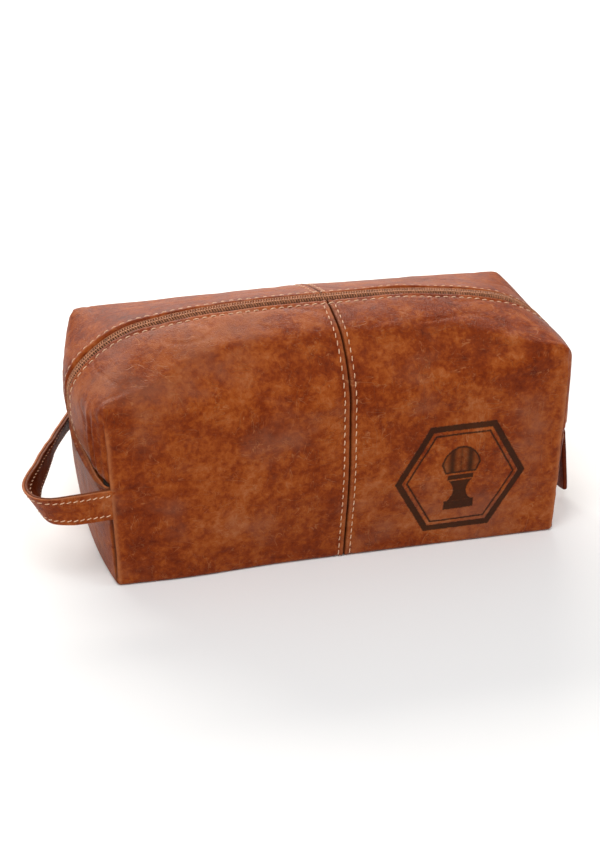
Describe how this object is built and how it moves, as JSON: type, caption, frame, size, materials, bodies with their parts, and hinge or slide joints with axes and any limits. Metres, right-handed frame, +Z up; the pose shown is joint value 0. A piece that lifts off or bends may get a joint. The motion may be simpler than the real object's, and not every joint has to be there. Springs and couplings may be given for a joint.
{
  "type": "shaving kit bag",
  "caption": "Box-shaped soft leather wash bag with a long zip over the top and ends, a leather zip pull and a side wrist loop.",
  "frame": {"origin": "centre of the flat bottom, on the surface the bag stands on", "axes": "+X along the bag towards the end with the zip pull, -Y towards the front, +Z up"},
  "size_m": [0.3183, 0.116, 0.1339],
  "materials": {
    "bag_leather": "waxed pull-up leather, tan, mottled, soft sheen",
    "lining": "plain woven cotton lining, dark brown",
    "binding": "woven bias binding, brown",
    "zip_tape": "woven zip tape, dark brown",
    "zip_coil": "nylon coil, brown, satin",
    "zip_metal": "antique brass, satin",
    "pull_leather": "dark red-brown leather, waxed"
  },
  "bodies": {
    "bag": {"left_panel_base": "bag_leather", "right_panel_base": "bag_leather", "lining_base": "lining", "end_binding_left": "binding", "end_binding_right": "binding", "corner_bindings_base": "binding", "strap_ends": "bag_leather"},
    "front_mouth": {"left_panel_front": "bag_leather", "right_panel_front": "bag_leather", "lining_front": "lining", "zip_tape_front": "zip_tape", "zip_coil_front": "zip_coil", "zip_stop_front": "zip_metal", "corner_bindings_front": "binding"},
    "back_mouth": {"left_panel_back": "bag_leather", "right_panel_back": "bag_leather", "lining_back": "lining", "zip_tape_back": "zip_tape", "zip_coil_back": "zip_coil", "zip_stop_back": "zip_metal", "corner_bindings_back": "binding"},
    "zip_slider": {"slider_body": "zip_metal", "slider_bridge": "zip_metal"},
    "zip_ring": {"pull_ring": "zip_metal"},
    "leather_pull": {"pull_thong": "pull_leather", "pull_knot": "pull_leather", "pull_tab": "pull_leather"},
    "wrist_strap": {"strap_outer": "bag_leather", "strap_inner": "bag_leather"}
  },
  "joints": [
    {"name": "front_mouth_open", "type": "hinge", "parent": "bag", "child": "front_mouth", "pos_m": [0, -0.0585, 0.0582], "axis": [1, 0, 0], "range_deg": [0, 25]},
    {"name": "back_mouth_open", "type": "hinge", "parent": "bag", "child": "back_mouth", "pos_m": [0, 0.0585, 0.0582], "axis": [-1, 0, 0], "range_deg": [0, 25]},
    {"name": "slider_travel", "type": "slide", "parent": "bag", "child": "zip_slider", "axis": [0, 0, 1], "range_m": [0, 0.022]},
    {"name": "ring_swing", "type": "hinge", "parent": "zip_slider", "child": "zip_ring", "pos_m": [0.1451, 0, 0.0725], "axis": [0, -0.9759, 0.2181], "range_deg": [0, 150]},
    {"name": "pull_swing", "type": "hinge", "parent": "zip_ring", "child": "leather_pull", "pos_m": [0.1451, -0.00196, 0.06372], "axis": [0, -0.9759, 0.2181], "range_deg": [-10, 90]},
    {"name": "strap_swing", "type": "hinge", "parent": "bag", "child": "wrist_strap", "pos_m": [-0.139, 0, 0.05], "axis": [0, 1, 0], "range_deg": [-50, 45]}
  ]
}
